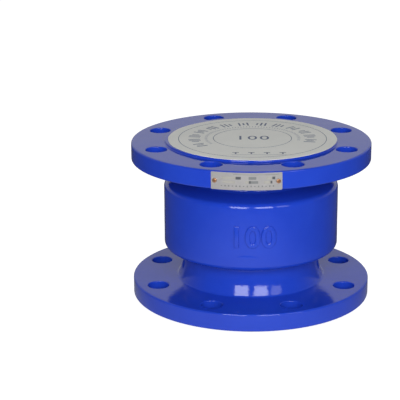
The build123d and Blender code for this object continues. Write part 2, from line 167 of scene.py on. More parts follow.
class Effects:
    """Shader node groups that several finishes share, each built once."""

    def __init__(self) -> None:
        """Builds the three groups."""
        self.relief = self._relief()
        self.mottle = self._mottle()
        self.turning = self._turning()

    @staticmethod
    def _group(name: str, inputs: dict[str, float], outputs: dict[str, str]) -> bpy.types.NodeTree:
        """Makes an empty group.

        Args:
            name: The group's name.
            inputs: Input names with their default values.
            outputs: Output names with their socket types.

        Returns:
            The group, with its input and output nodes placed.
        """
        group = bpy.data.node_groups.new(name, "ShaderNodeTree")
        for label, value in inputs.items():
            socket = group.interface.new_socket(label, in_out="INPUT", socket_type="NodeSocketFloat")
            socket.default_value = value
        for label, kind in outputs.items():
            group.interface.new_socket(label, in_out="OUTPUT", socket_type=kind)
        group.nodes.new("NodeGroupInput")
        group.nodes.new("NodeGroupOutput")
        return group

    @staticmethod
    def _ends(group: bpy.types.NodeTree) -> tuple[bpy.types.Node, bpy.types.Node]:
        """Returns the group's input and output nodes."""
        return group.nodes["Group Input"], group.nodes["Group Output"]

    def _relief(self) -> bpy.types.NodeTree:
        """Orange peel and slow waves of a thick paint coat, as a height."""
        group = self._group(
            "coat_relief",
            {"Peel Scale": 300.0, "Peel Share": 0.3, "Wave Scale": 45.0, "Stretch": 1.0},
            {"Height": "NodeSocketFloat"},
        )
        kit = NodeKit(group)
        start, end = self._ends(group)
        place = kit.add("ShaderNodeTexCoord").outputs["Object"]
        factor = kit.add("ShaderNodeCombineXYZ", {"X": 1.0, "Y": 1.0})
        kit.join(start.outputs["Stretch"], factor.inputs["Z"])
        scaled = kit.add("ShaderNodeVectorMath", operation="MULTIPLY")
        kit.join(place, scaled.inputs[0])
        kit.join(factor.outputs[0], scaled.inputs[1])
        peel = kit.add("ShaderNodeTexNoise", {"Detail": 2.0, "Roughness": 0.5})
        wave = kit.add("ShaderNodeTexNoise", {"Detail": 3.0, "Roughness": 0.45})
        kit.join(place, peel.inputs["Vector"])
        kit.join(scaled.outputs[0], wave.inputs["Vector"])
        kit.join(start.outputs["Peel Scale"], peel.inputs["Scale"])
        kit.join(start.outputs["Wave Scale"], wave.inputs["Scale"])
        fine = kit.math("MULTIPLY", peel.outputs[0], start.outputs["Peel Share"])
        kit.join(kit.math("ADD", wave.outputs[0], fine), end.inputs["Height"])
        return group

    def _mottle(self) -> bpy.types.NodeTree:
        """Soft patches, as a mask from 0 to 1."""
        group = self._group(
            "soft_mottle", {"Scale": 25.0, "Contrast": 2.0}, {"Mask": "NodeSocketFloat"}
        )
        kit = NodeKit(group)
        start, end = self._ends(group)
        place = kit.add("ShaderNodeTexCoord").outputs["Object"]
        patches = kit.add("ShaderNodeTexNoise", {"Detail": 5.0, "Roughness": 0.55})
        kit.join(place, patches.inputs["Vector"])
        kit.join(start.outputs["Scale"], patches.inputs["Scale"])
        centred = kit.math("SUBTRACT", patches.outputs[0], 0.5)
        spread = kit.math("MULTIPLY", centred, start.outputs["Contrast"])
        mask = kit.add("ShaderNodeMath", operation="ADD", use_clamp=True)
        kit.join(spread, mask.inputs[0])
        mask.inputs[1].default_value = 0.5
        kit.join(mask.outputs[0], end.inputs["Mask"])
        return group

    def _turning(self) -> bpy.types.NodeTree:
        """Fine rings of a lathe tool round the valve's axis, as a height."""
        group = self._group(
            "lathe_rings", {"Pitch Scale": 2200.0, "Wander": 0.2}, {"Height": "NodeSocketFloat"}
        )
        kit = NodeKit(group)
        start, end = self._ends(group)
        place = kit.add("ShaderNodeTexCoord").outputs["Object"]
        parts = kit.add("ShaderNodeSeparateXYZ")
        kit.join(place, parts.inputs[0])
        across = kit.math("POWER", parts.outputs["X"], 2.0)
        along = kit.math("POWER", parts.outputs["Y"], 2.0)
        radius = kit.math("SQRT", kit.math("ADD", across, along))
        travel = kit.math("ADD", radius, parts.outputs["Z"])
        jitter = kit.add("ShaderNodeTexNoise", {"Scale": 60.0, "Detail": 3.0})
        kit.join(place, jitter.inputs["Vector"])
        phase = kit.math("MULTIPLY", travel, start.outputs["Pitch Scale"])
        wander = kit.math("MULTIPLY", jitter.outputs[0], start.outputs["Wander"])
        wave = kit.math("SINE", kit.math("ADD", phase, kit.math("MULTIPLY", wander, FULL_TURN)))
        kit.join(kit.span(wave, 0.4, 0.6), end.inputs["Height"])
        return group


EFFECTS = Effects()


@dataclass(frozen=True)
class Finish:
    """A named surface finish."""

    name: str
    colour: Colour
    roughness: float

    def material(self) -> bpy.types.Material:
        """Builds the finish, once.

        Returns:
            The material.
        """
        known = bpy.data.materials.get(self.name)
        if known:
            return known
        material = bpy.data.materials.new(self.name)
        material.use_nodes = True
        kit = NodeKit(material.node_tree)
        shader = material.node_tree.nodes["Principled BSDF"]
        shader.inputs["Base Color"].default_value = (*self.colour, 1)
        shader.inputs["Roughness"].default_value = self.roughness
        self.detail(kit, shader)
        return material

    def detail(self, kit: NodeKit, shader: bpy.types.Node) -> None:
        """Adds what this kind of finish has beyond its colour and roughness."""

    @staticmethod
    def group(kit: NodeKit, tree: bpy.types.NodeTree, values: dict[str, float]) -> bpy.types.Node:
        """Places a shared group.

        Args:
            kit: The material's nodes.
            tree: The group.
            values: Its input values by name.

        Returns:
            The group's node.
        """
        node = kit.add("ShaderNodeGroup", node_tree=tree)
        for name, value in values.items():
            node.inputs[name].default_value = value
        return node

    @staticmethod
    def bump(kit: NodeKit, shader: bpy.types.Node, height: bpy.types.NodeSocket, depth: float) -> None:
        """Leads a height into the shader's normal.

        Args:
            kit: The material's nodes.
            shader: The shader.
            height: The height's socket, about 0 to 1.
            depth: What a height of 1 stands for, in millimetres.
        """
        node = kit.add("ShaderNodeBump", {"Strength": 1.0, "Distance": depth * MM})
        kit.join(height, node.inputs["Height"])
        kit.join(node.outputs[0], shader.inputs["Normal"])


@dataclass(frozen=True)
class PaintFinish(Finish):
    """Thick glossy paint over cast iron."""

    deep_colour: Colour = (0.012, 0.048, 0.5)
    peel_scale: float = 260.0
    peel_share: float = 0.25
    wave_scale: float = 42.0
    wave_stretch: float = 0.6
    relief_depth: float = 0.22
    patch_scale: float = 22.0
    roughness_spread: float = 0.05

    def detail(self, kit: NodeKit, shader: bpy.types.Node) -> None:
        """Adds colour patches, uneven gloss and the coat's relief."""
        patches = self.group(kit, EFFECTS.mottle, {"Scale": self.patch_scale, "Contrast": 1.6})
        mask = patches.outputs["Mask"]
        kit.join(kit.blend(mask, self.deep_colour, self.colour), shader.inputs["Base Color"])
        gloss = kit.span(mask, self.roughness, self.roughness + self.roughness_spread)
        kit.join(gloss, shader.inputs["Roughness"])
        relief = self.group(kit, EFFECTS.relief, {
            "Peel Scale": self.peel_scale,
            "Peel Share": self.peel_share,
            "Wave Scale": self.wave_scale,
            "Stretch": self.wave_stretch,
        })
        self.bump(kit, shader, relief.outputs["Height"], self.relief_depth)


@dataclass(frozen=True)
class TurnedMetalFinish(Finish):
    """Metal turned on a lathe."""

    dull_colour: Colour = (0.3, 0.3, 0.3)
    pitch_scale: float = 2200.0
    ring_depth: float = 0.012
    patch_scale: float = 60.0

    def detail(self, kit: NodeKit, shader: bpy.types.Node) -> None:
        """Adds tool rings, faint stains and uneven polish."""
        shader.inputs["Metallic"].default_value = 1.0
        patches = self.group(kit, EFFECTS.mottle, {"Scale": self.patch_scale, "Contrast": 2.2})
        mask = patches.outputs["Mask"]
        kit.join(kit.blend(mask, self.dull_colour, self.colour), shader.inputs["Base Color"])
        kit.join(kit.span(mask, self.roughness + 0.15, self.roughness), shader.inputs["Roughness"])
        rings = self.group(kit, EFFECTS.turning, {"Pitch Scale": self.pitch_scale})
        self.bump(kit, shader, rings.outputs["Height"], self.ring_depth)


@dataclass(frozen=True)
class RubberFinish(Finish):
    """Moulded rubber with a fine grain."""

    grain_scale: float = 900.0

    def detail(self, kit: NodeKit, shader: bpy.types.Node) -> None:
        """Adds a dusty bloom and a fine grain."""
        patches = self.group(kit, EFFECTS.mottle, {"Scale": 80.0, "Contrast": 2.0})
        bloom = tuple(channel * 1.8 + 0.01 for channel in self.colour)
        kit.join(kit.blend(patches.outputs["Mask"], self.colour, bloom), shader.inputs["Base Color"])
        relief = self.group(kit, EFFECTS.relief, {"Peel Scale": self.grain_scale, "Peel Share": 1.0})
        self.bump(kit, shader, relief.outputs["Height"], 0.03)


@dataclass(frozen=True)
class FilmFinish(Finish):
    """Smooth printed film or sheet with faint stains."""

    stain_colour: Colour = (0.5, 0.5, 0.48)
    metallic: float = 0.0
    stain_scale: float = 35.0
    relief_depth: float = 0.05

    def detail(self, kit: NodeKit, shader: bpy.types.Node) -> None:
        """Adds stains and a slight waviness."""
        shader.inputs["Metallic"].default_value = self.metallic
        patches = self.group(kit, EFFECTS.mottle, {"Scale": self.stain_scale, "Contrast": 1.5})
        mask = patches.outputs["Mask"]
        kit.join(kit.blend(mask, self.stain_colour, self.colour), shader.inputs["Base Color"])
        kit.join(kit.span(mask, self.roughness + 0.1, self.roughness), shader.inputs["Roughness"])
        relief = self.group(kit, EFFECTS.relief, {"Peel Scale": 500.0, "Peel Share": 0.1, "Wave Scale": 30.0})
        self.bump(kit, shader, relief.outputs["Height"], self.relief_depth)


@dataclass(frozen=True)
class FloorFinish(Finish):
    """Pale floor that stays white to the camera and keeps a soft shadow; to reflections its base is painted dark
    under a painted reflection glow, bright in front of the valve.
    """

    glow: float = 0.84
    mirror_colour: Colour = (0.1, 0.1, 0.1)
    mirror_near: float = 0.62
    mirror_far: float = 0.04
    bright_x: float = -0.02
    bright_y: float = -0.19
    bright_reach: float = 0.34

    def detail(self, kit: NodeKit, shader: bpy.types.Node) -> None:
        """Adds a glow that only camera, glossy and transmission rays see: white to the camera, and to glossy and
        transmission rays a painted reflection over a base painted dark.
        """
        grain = self.group(kit, EFFECTS.mottle, {"Scale": 3.0, "Contrast": 0.4})
        pale = tuple(channel * 0.97 for channel in self.colour)
        shown = kit.blend(grain.outputs["Mask"], pale, self.colour)
        ray = kit.add("ShaderNodeLightPath")
        mirrored = kit.math("MAXIMUM", ray.outputs["Is Glossy Ray"], ray.outputs["Is Transmission Ray"])
        # painted reflection: glossy and transmission rays see the floor's base painted dark
        base = kit.add("ShaderNodeMix", data_type="RGBA")
        kit.join(mirrored, base.inputs[0])
        kit.join(shown, base.inputs[6])
        base.inputs[7].default_value = (*self.mirror_colour, 1)
        kit.join(base.outputs[2], shader.inputs["Base Color"])
        shader.inputs["Specular IOR Level"].default_value = 0.0
        shader.inputs["Emission Color"].default_value = (1, 1, 1, 1)
        seen = kit.math("MULTIPLY", ray.outputs["Is Camera Ray"], self.glow)
        # painted reflection: glossy and transmission rays see a glow, bright in front of the valve and fading far
        # away
        glow = kit.math("MAXIMUM", seen, kit.math("MULTIPLY", mirrored, self.reflection_glow(kit)))
        kit.join(glow, shader.inputs["Emission Strength"])

    def reflection_glow(self, kit: NodeKit) -> bpy.types.NodeSocket:
        """Returns the floor's painted reflection glow: bright in front of the valve, dark far away."""
        place = kit.add("ShaderNodeTexCoord").outputs["Object"]
        offset = kit.add("ShaderNodeVectorMath", operation="DISTANCE")
        kit.join(place, offset.inputs[0])
        offset.inputs[1].default_value = (self.bright_x, self.bright_y, 0)
        fall = kit.add("ShaderNodeMapRange", {
            "From Min": 0.0, "From Max": self.bright_reach, "To Min": self.mirror_near, "To Max": self.mirror_far,
        }, interpolation_type="SMOOTHSTEP")
        kit.join(offset.outputs["Value"], fall.inputs["Value"])
        return fall.outputs["Result"]


PAINT = PaintFinish("glossy_blue_paint", (0.016, 0.062, 0.56), 0.07)
BRONZE = TurnedMetalFinish("machined_bronze", (0.66, 0.43, 0.2), 0.28, dull_colour=(0.42, 0.25, 0.11))
BUSH = TurnedMetalFinish("bush_brass", (0.78, 0.6, 0.28), 0.22, dull_colour=(0.5, 0.36, 0.14))
STAINLESS = TurnedMetalFinish("turned_stainless", (0.62, 0.62, 0.61), 0.24, dull_colour=(0.4, 0.4, 0.4))
WIRE = TurnedMetalFinish("drawn_wire", (0.58, 0.59, 0.6), 0.3, dull_colour=(0.32, 0.32, 0.33), ring_depth=0.004)
RUBBER = RubberFinish("moulded_rubber", (0.02, 0.02, 0.021), 0.6)
FILM = FilmFinish("pale_grey_film", (0.86, 0.87, 0.83), 0.42, stain_colour=(0.8, 0.81, 0.78))
INK = FilmFinish("navy_ink", (0.05, 0.085, 0.19), 0.5, stain_colour=(0.12, 0.16, 0.26), stain_scale=400.0)
PLATE = FilmFinish(
    "satin_aluminium", (0.5, 0.49, 0.49), 0.34, stain_colour=(0.4, 0.39, 0.39), metallic=0.4, stain_scale=160.0
)
COPPER = TurnedMetalFinish("copper_rivet", (0.72, 0.36, 0.2), 0.26, dull_colour=(0.42, 0.17, 0.09))
FLOOR = FloorFinish("pale_floor", (0.88, 0.88, 0.88), 0.9)


def rounded(corners: list[Corner], closed: bool, pieces: int = 6) -> list[Point]:
    """Works out an outline whose corners are rounded by arcs.

    Args:
        corners: Radius, height and rounding of each corner, in millimetres.
        closed: Whether the last corner joins the first.
        pieces: Straight pieces in each arc.

    Returns:
        Points of the outline, in millimetres.
    """
    count = len(corners)
    points: list[Point] = []
    for index, (radius, height, rounding) in enumerate(corners):
        corner = Vector((radius, height))
        at_end = not closed and index in (0, count - 1)
        if rounding <= 0 or at_end:
            points.append((radius, height))
            continue
        back = (Vector(corners[index - 1][:2]) - corner).normalized()
        ahead = (Vector(corners[(index + 1) % count][:2]) - corner).normalized()
        half = back.angle(ahead) / 2
        centre = corner + (back + ahead).normalized() * rounding / math.sin(half)
        first = corner + back * rounding / math.tan(half) - centre
        last = corner + ahead * rounding / math.tan(half) - centre
        for step in range(pieces + 1):
            spoke = first.slerp(last, step / pieces).normalized() * rounding
            points.append(tuple(centre + spoke))
    return points


def refined(points: list[Point], longest: float) -> list[Point]:
    """Adds points along an open outline so that no stretch is longer than a given length.

    Args:
        points: The outline, in millimetres.
        longest: The longest stretch, in millimetres.

    Returns:
        The outline with the added points.
    """
    result = [points[0]]
    for start, end in zip(points, points[1:]):
        pieces = max(1, math.ceil(math.dist(start, end) / longest))
        for step in range(1, pieces + 1):
            share = step / pieces
            result.append((start[0] + (end[0] - start[0]) * share, start[1] + (end[1] - start[1]) * share))
    return result


def spun(points: list[Point], closed: bool, steps: int) -> bmesh.types.BMesh:
    """Spins an outline once round the Z axis.

    Args:
        points: Radius and height of each point, in millimetres.
        closed: Whether the outline is a loop.
        steps: Steps in the turn.

    Returns:
        The turned mesh, in metres.
    """
    mesh = bmesh.new()
    verts = [mesh.verts.new((radius * MM, 0, height * MM)) for radius, height in points]
    pairs = list(zip(verts, verts[1:]))
    if closed:
        pairs.append((verts[-1], verts[0]))
    edges = [mesh.edges.new(pair) for pair in pairs]
    bmesh.ops.spin(
        mesh, geom=verts + edges, cent=(0, 0, 0), axis=(0, 0, 1), dvec=(0, 0, 0),
        angle=FULL_TURN, steps=steps, use_merge=True, use_duplicate=False,
    )
    tidy(mesh)
    return mesh


def tidy(mesh: bmesh.types.BMesh) -> None:
    """Merges doubles, drops slivers and points the faces outwards."""
    bmesh.ops.remove_doubles(mesh, verts=mesh.verts, dist=1e-6)
    bmesh.ops.dissolve_degenerate(mesh, dist=1e-7, edges=mesh.edges)
    bmesh.ops.recalc_face_normals(mesh, faces=mesh.faces)


def piece(mesh: bmesh.types.BMesh, name: str, sharp: float = 32.0) -> bpy.types.Object:
    """Makes an object of a mesh, smooth but for its sharp edges.

    Args:
        mesh: The mesh, which is used up.
        name: The object's name.
        sharp: Angle in degrees from which an edge is sharp.

    Returns:
        The object, at the origin.
    """
    data = bpy.data.meshes.new(name)
    mesh.to_mesh(data)
    mesh.free()
    smooth(data, sharp)
    thing = bpy.data.objects.new(name, data)
    bpy.context.scene.collection.objects.link(thing)
    return thing


def smooth(data: bpy.types.Mesh, sharp: float) -> None:
    """Shades a mesh smooth, with sharp edges from an angle in degrees."""
    data.shade_smooth()
    data.set_sharp_from_angle(angle=math.radians(sharp))


def baked(thing: bpy.types.Object) -> bpy.types.Mesh:
    """Returns a new mesh of an object with its modifiers applied."""
    graph = bpy.context.evaluated_depsgraph_get()
    graph.update()
    return bpy.data.meshes.new_from_object(thing.evaluated_get(graph))


def joined(thing: bpy.types.Object, other: bpy.types.Object, operation: str) -> None:
    """Cuts or adds another solid, and removes it.

    Args:
        thing: The solid that changes.
        other: The solid that is used up.
        operation: DIFFERENCE or UNION.
    """
    cut = thing.modifiers.new("joining", "BOOLEAN")
    cut.operation = operation
    cut.solver = "EXACT"
    cut.object = other
    data = baked(thing)
    thing.modifiers.clear()
    thing.data = data
    bpy.data.objects.remove(other)


def even_shading(thing: bpy.types.Object) -> None:
    """Keeps large flat faces flat in the shading, with soft edges beside them."""
    weighting = thing.modifiers.new("even_shading", "WEIGHTED_NORMAL")
    weighting.keep_sharp = True
    weighting.weight = 80


def place(thing: bpy.types.Object, finish: Finish, body: Body, slot: Slot) -> bpy.types.Object:
    """Dresses a piece and sets it on its body.

    Args:
        thing: The piece.
        finish: Its finish.
        body: The body it rides on.
        slot: The record's slot of that finish; not used.

    Returns:
        The piece.
    """
    thing.data.materials.clear()
    thing.data.materials.append(finish.material())
    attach(thing, body.value)
    LOG.info("%s: %d faces on %s", thing.name, len(thing.data.polygons), body.value)
    return thing


def copies_round(mesh: bmesh.types.BMesh, count: int, start: float = 0.0) -> None:
    """Repeats a whole mesh round the Z axis.

    Args:
        mesh: The mesh, made at angle 0.
        count: Copies in all.
        start: Angle of the first, in degrees.
    """
    first = list(mesh.verts) + list(mesh.edges) + list(mesh.faces)
    for index in range(1, count):
        made = bmesh.ops.duplicate(mesh, geom=first)
        verts = [item for item in made["geom"] if isinstance(item, bmesh.types.BMVert)]
        turn = Matrix.Rotation(FULL_TURN * index / count, 3, "Z")
        bmesh.ops.rotate(mesh, cent=(0, 0, 0), matrix=turn, verts=verts)
    bmesh.ops.rotate(mesh, cent=(0, 0, 0), matrix=Matrix.Rotation(math.radians(start), 3, "Z"), verts=mesh.verts)


def wrapped(verts: list[bmesh.types.BMVert], radius: float, angle: float, height: float) -> None:
    """Bends a flat shape round the Z axis. Its X runs round, its Y up and its Z out.

    Args:
        verts: The shape's vertices, in metres.
        radius: Radius of its flat back, in millimetres.
        angle: Direction of its middle, in degrees.
        height: Height of its middle, in millimetres.
    """
    for vert in verts:
        across, up, out = vert.co
        turn = math.radians(angle) + across / (radius * MM)
        reach = radius * MM + out
        vert.co = (reach * math.cos(turn), reach * math.sin(turn), height * MM + up)


def number_mesh(text: str, height: float, depth: float, rounding: float, spacing: float = 1.0) -> bmesh.types.BMesh:
    """Makes plain raised numbers, centred, lying on the XY plane.

    Args:
        text: The digits.
        height: Height of a digit, in millimetres.
        depth: How far they stand out, in millimetres.
        rounding: Rounding of their edges, in millimetres.
        spacing: Distance between the digits, 1 is normal.

    Returns:
        The mesh, in metres.
    """
    digit_share = 0.72
    curve = bpy.data.curves.new("numbers", "FONT")
    curve.body = text
    curve.align_x = "CENTER"
    curve.align_y = "CENTER"
    curve.size = height * MM / digit_share
    curve.space_character = spacing
    curve.extrude = max(depth - rounding, 0.0) * MM
    curve.bevel_depth = rounding * MM
    curve.bevel_resolution = 2
    curve.resolution_u = 6
    holder = bpy.data.objects.new("numbers", curve)
    bpy.context.scene.collection.objects.link(holder)
    mesh = bmesh.new()
    mesh.from_mesh(baked(holder))
    bpy.data.objects.remove(holder)
    tidy(mesh)
    return mesh


def sliced(mesh: bmesh.types.BMesh, pitch: float) -> None:
    """Cuts a flat shape across X at a pitch in millimetres, so that it bends smoothly."""
    lowest = min(vert.co.x for vert in mesh.verts)
    highest = max(vert.co.x for vert in mesh.verts)
    for step in range(1, math.ceil((highest - lowest) / (pitch * MM))):
        geometry = list(mesh.verts) + list(mesh.edges) + list(mesh.faces)
        cut = (lowest + step * pitch * MM, 0, 0)
        bmesh.ops.bisect_plane(mesh, geom=geometry, dist=1e-7, plane_co=cut, plane_no=(1, 0, 0))


def slab(mesh: bmesh.types.BMesh, width: float, length: float, depth: float, middle: Vector, rounding: float) -> None:
    """Adds a thin bar with rounded corners to a mesh.

    Args:
        mesh: The mesh that takes it.
        width: Size along X, in millimetres.
        length: Size along Y, in millimetres.
        depth: Size along Z, in millimetres.
        middle: Middle of its back, in millimetres.
        rounding: Rounding of its four upright corners, in millimetres.
    """
    made = bmesh.ops.create_cube(mesh, size=1.0)
    verts = made["verts"]
    bmesh.ops.scale(mesh, vec=(width * MM, length * MM, depth * MM), verts=verts)
    bmesh.ops.translate(mesh, vec=Vector(middle) * MM + Vector((0, 0, depth * MM / 2)), verts=verts)
    upright = [
        edge for edge in {edge for vert in verts for edge in vert.link_edges}
        if abs((edge.verts[0].co - edge.verts[1].co).normalized().z) > 0.9
    ]
    if rounding > 0:
        bmesh.ops.bevel(
            mesh, geom=upright, offset=rounding * MM, offset_type="OFFSET", affect="EDGES",
            segments=3, profile=0.5, material=-1, clamp_overlap=True,
        )


@dataclass
class CastBody:
    """The painted casting: flanges, necks, barrel, waterway and outlet guide."""

    steps: int = 192
    raised_r: float = 77.5
    inlet_face_h: float = 3.0
    outlet_face_h: float = 2.0
    flange_t: float = 16.0
    barrel_r: float = 78.7
    neck_r: float = 60.2
    foot_r: float = 66.6
    flare_r: float = 62.8
    flare_h: float = 8.5
    flare_round: float = 55.0
    lower_neck_h: float = 24.5
    underside_h: float = 4.8
    upper_neck_h: float = 16.0
    shoulder_h: float = 6.2
    casting_round: float = 5.0
    root_round: float = 3.0
    edge_round: float = 1.5
    counterbore_r: float = 64.1
    counterbore_h: float = 6.0
    neck_bore_r: float = 52.5
    outlet_r: float = 50.0
    wall: float = 8.2
    shoulder_wall: float = 7.0
    bolt_circle_r: float = 90.0
    bolt_hole_r: float = 9.5
    bolt_count: int = 8
    hole_edge_round: float = 0.9
    hub_r: float = 14.0
    hub_foot_r: float = 21.5
    hub_bore_r: float = 10.0
    hub_top_drop: float = 13.0
    hub_l: float = 30.0
    rib_t: float = 6.0
    rib_count: int = 3
    rib_start: float = 90.0
    wave_depth: float = 0.28
    wave_size: float = 16.0
    outer: list[Point] = field(default_factory=list)

    def __post_init__(self) -> None:
        """Takes the overall sizes from the frame."""
        low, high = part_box("valve_body")
        self.flange_r = high.x / MM
        self.top = high.z / MM
        self.lower_top = self.inlet_face_h + self.flange_t
        self.upper_top = self.top - self.outlet_face_h
        self.upper_bottom = self.upper_top - self.flange_t
        self.underside = self.lower_top + self.lower_neck_h
        self.barrel_low = self.underside + self.underside_h
        self.shoulder = self.upper_bottom - self.upper_neck_h
        self.barrel_high = self.shoulder - self.shoulder_h

    def outside(self) -> list[Point]:
        """Returns the outline from the inlet's counterbore round to the outlet bore."""
        corners = [
            (self.counterbore_r, 0, 0),
            (self.raised_r, 0, 0.8),
            (self.raised_r, self.inlet_face_h, 1.0),
            (self.flange_r, self.inlet_face_h, self.edge_round),
            (self.flange_r, self.lower_top, self.edge_round),
            (self.foot_r, self.lower_top, 2.2),
            (self.flare_r, self.lower_top + self.flare_h, self.flare_round),
            (self.neck_r, self.underside, self.root_round),
            (self.barrel_r, self.barrel_low, self.casting_round),
            (self.barrel_r, self.barrel_high, self.casting_round),
            (self.neck_r, self.shoulder, self.root_round),
            (self.neck_r, self.upper_bottom, self.root_round),
            (self.flange_r, self.upper_bottom, self.edge_round),
            (self.flange_r, self.upper_top, self.edge_round),
            (self.raised_r, self.upper_top, 0.9),
            (self.raised_r, self.top, 0.7),
            (self.outlet_r, self.top, 0),
        ]
        return rounded(corners, closed=False)

    def waterway(self) -> list[Point]:
        """Returns the outline of the hollow, from the inlet's counterbore to the outlet face."""
        chamber_r = self.barrel_r - self.wall
        corners = [
            (self.counterbore_r, 0, 0),
            (self.counterbore_r, self.counterbore_h, 0),
            (self.neck_bore_r, self.counterbore_h, 0),
            (self.neck_bore_r, self.underside + self.shoulder_wall, 1.0),
            (chamber_r, self.barrel_low + self.shoulder_wall, self.casting_round),
            (chamber_r, self.barrel_high - self.shoulder_wall, self.casting_round),
            (self.outlet_r, self.shoulder - self.shoulder_wall, self.root_round),
            (self.outlet_r, self.top, 0),
        ]
        return rounded(corners, closed=False)

    def ripple(self, mesh: bmesh.types.BMesh) -> None:
        """Moves the barrel and necks slightly inwards, as uneven cast iron under paint does."""
        fade = 4.0
        for vert in mesh.verts:
            height = vert.co.z / MM
            edge = min(height - self.lower_top, self.upper_bottom - height)
            if edge <= 0:
                continue
            share = min(edge / fade, 1.0)
            field_at = noise.noise(Vector(vert.co) / (self.wave_size * MM))
            fine = noise.noise(Vector(vert.co) / (self.wave_size * MM * 0.35))
            depth = self.wave_depth * (0.5 + 0.4 * field_at + 0.1 * fine)
            reach = Vector((vert.co.x, vert.co.y, 0)).length
            vert.co.x -= vert.co.x / reach * depth * share * MM
            vert.co.y -= vert.co.y / reach * depth * share * MM

    def shell(self) -> bpy.types.Object:
        """Spins the outside and the waterway and joins them at the two faces."""
        mesh = spun(refined(self.outside(), 5.0), closed=False, steps=self.steps)
        self.ripple(mesh)
        inside = spun(self.waterway(), closed=False, steps=self.steps)
        holder = bpy.data.meshes.new("waterway")
        inside.to_mesh(holder)
        inside.free()
        mesh.from_mesh(holder)
        bpy.data.meshes.remove(holder)
        tidy(mesh)
        return piece(mesh, "painted_casting")

    def hole_cutters(self) -> bpy.types.Object:
        """Makes the bolt hole cutters, flared where paint rounds each hole's edge."""
        edge = self.hole_edge_round
        over = 0.5
        mesh = bmesh.new()
        for low, high in ((self.inlet_face_h, self.lower_top), (self.upper_bottom, self.upper_top)):
            wide = self.bolt_hole_r + edge
            corners = [
                (0, low - over, 0),
                (wide, low - over, 0),
                (wide, low, 0),
                (self.bolt_hole_r, low, edge),
                (self.bolt_hole_r, high, edge),
                (wide, high, 0),
                (wide, high + over, 0),
                (0, high + over, 0),
            ]
            outline = self.flared(corners, edge)
            cutter = spun(outline, closed=False, steps=48)
            holder = bpy.data.meshes.new("cutter")
            cutter.to_mesh(holder)
            cutter.free()
            mesh.from_mesh(holder)
            bpy.data.meshes.remove(holder)
        bmesh.ops.translate(mesh, vec=(self.bolt_circle_r * MM, 0, 0), verts=mesh.verts)
        copies_round(mesh, self.bolt_count, 180 / self.bolt_count)
        return piece(mesh, "hole_cutters")

    def flared(self, corners: list[Corner], edge: float) -> list[Point]:
        """Returns a cutter's outline whose ends open out in quarter rounds."""
        low, high = corners[3][1], corners[4][1]
        quarter = [
            (self.bolt_hole_r + edge * (1 - math.sin(turn)), edge * (1 - math.cos(turn)))
            for turn in (math.pi / 2 * step / 5 for step in range(6))
        ]
        lower = [(radius, low + rise) for radius, rise in quarter]
        upper = [(radius, high - rise) for radius, rise in reversed(quarter)]
        first = [(radius, height) for radius, height, _ in corners[:2]]
        last = [(radius, height) for radius, height, _ in corners[6:]]
        return first + lower + upper + last

    def guide(self) -> bpy.types.Object:
        """Makes the hub cast into the outlet neck."""
        hub_top = self.top - self.hub_top_drop
        hub_bottom = hub_top - self.hub_l
        outline = rounded([
            (self.hub_bore_r, hub_bottom, 0),
            (self.hub_foot_r, hub_bottom, 0.6),
            (self.hub_foot_r, hub_bottom + 3, 1.0),
            (self.hub_r, hub_bottom + 8, 3.0),
            (self.hub_r, hub_top, 1.5),
            (self.hub_bore_r, hub_top, 0),
        ], closed=True)
        return piece(spun(outline, closed=True, steps=64), "outlet_hub")

    def rib(self, angle: float) -> bpy.types.Object:
        """Makes one rib that runs from the hub into the wall."""
        hub_top = self.top - self.hub_top_drop
        low = hub_top - self.hub_l + 6
        mesh = bmesh.new()
        corners = [
            (self.hub_r - 2, hub_top - 2),
            (self.outlet_r + 3, hub_top - 2),
            (self.outlet_r + 3, low + 4),
            (self.hub_r - 2, low + 1),
        ]
        verts = [mesh.verts.new((x * MM, -self.rib_t / 2 * MM, z * MM)) for x, z in corners]
        face = mesh.faces.new(verts)
        made = bmesh.ops.extrude_face_region(mesh, geom=[face])
        moved = [item for item in made["geom"] if isinstance(item, bmesh.types.BMVert)]
        bmesh.ops.translate(mesh, vec=(0, self.rib_t * MM, 0), verts=moved)
        long_edges = [edge for edge in mesh.edges if abs((edge.verts[0].co - edge.verts[1].co).normalized().x) > 0.9]
        bmesh.ops.bevel(
            mesh, geom=long_edges, offset=1.6 * MM, offset_type="OFFSET", affect="EDGES",
            segments=4, profile=0.5, material=-1, clamp_overlap=True,
        )
        bmesh.ops.rotate(
            mesh, cent=(0, 0, 0), matrix=Matrix.Rotation(math.radians(angle), 3, "Z"), verts=mesh.verts
        )
        tidy(mesh)
        return piece(mesh, "outlet_rib")

    def build(self) -> None:
        """Builds, cuts and dresses the casting."""
        casting = self.shell()
        joined(casting, self.hole_cutters(), "DIFFERENCE")
        joined(casting, self.guide(), "UNION")
        for index in range(self.rib_count):
            joined(casting, self.rib(self.rib_start + 360 * index / self.rib_count), "UNION")
        smooth(casting.data, 32.0)
        even_shading(casting)
        place(casting, PAINT, Body.HOUSING, Slot.PAINT)
        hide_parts("valve_body")


